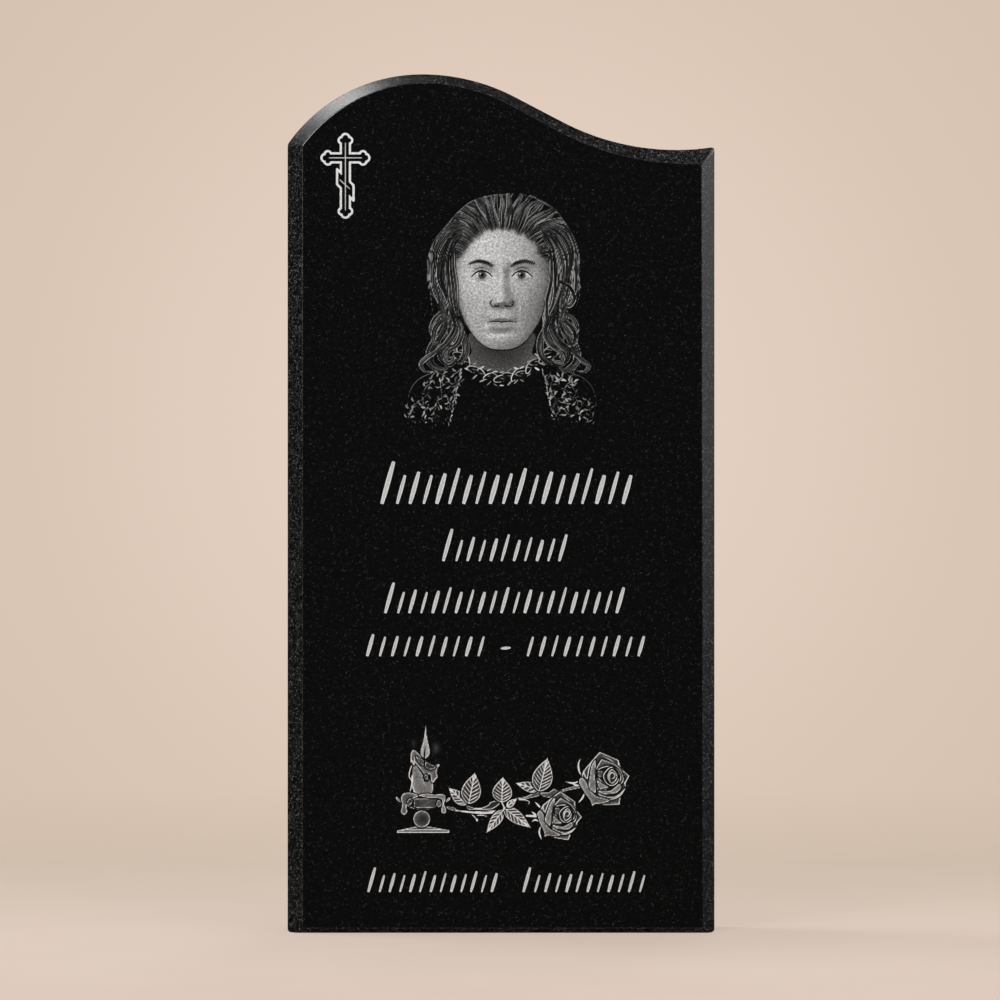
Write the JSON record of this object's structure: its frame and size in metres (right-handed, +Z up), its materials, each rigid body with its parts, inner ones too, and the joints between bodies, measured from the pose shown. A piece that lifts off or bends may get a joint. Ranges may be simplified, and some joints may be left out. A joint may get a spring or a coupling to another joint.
{
  "type": "headstone",
  "caption": "Upright polished black granite headstone slab with a wave-shaped top, a bevelled front and an engraved cross, portrait, inscription strokes, candle and roses",
  "frame": {"origin": "middle of the underside's bounding rectangle, at the base of the slab", "axes": "+Z up along the slab's height, +Y through its thickness from the engraved front (which faces -Y) to the back, +X across its width"},
  "size_m": [0.5, 0.08, 1.005],
  "materials": {
    "granite": "black granite, mirror polished on the front, finer ground on the bevels"
  },
  "bodies": {
    "root": {"stele": "granite"}
  },
  "joints": []
}
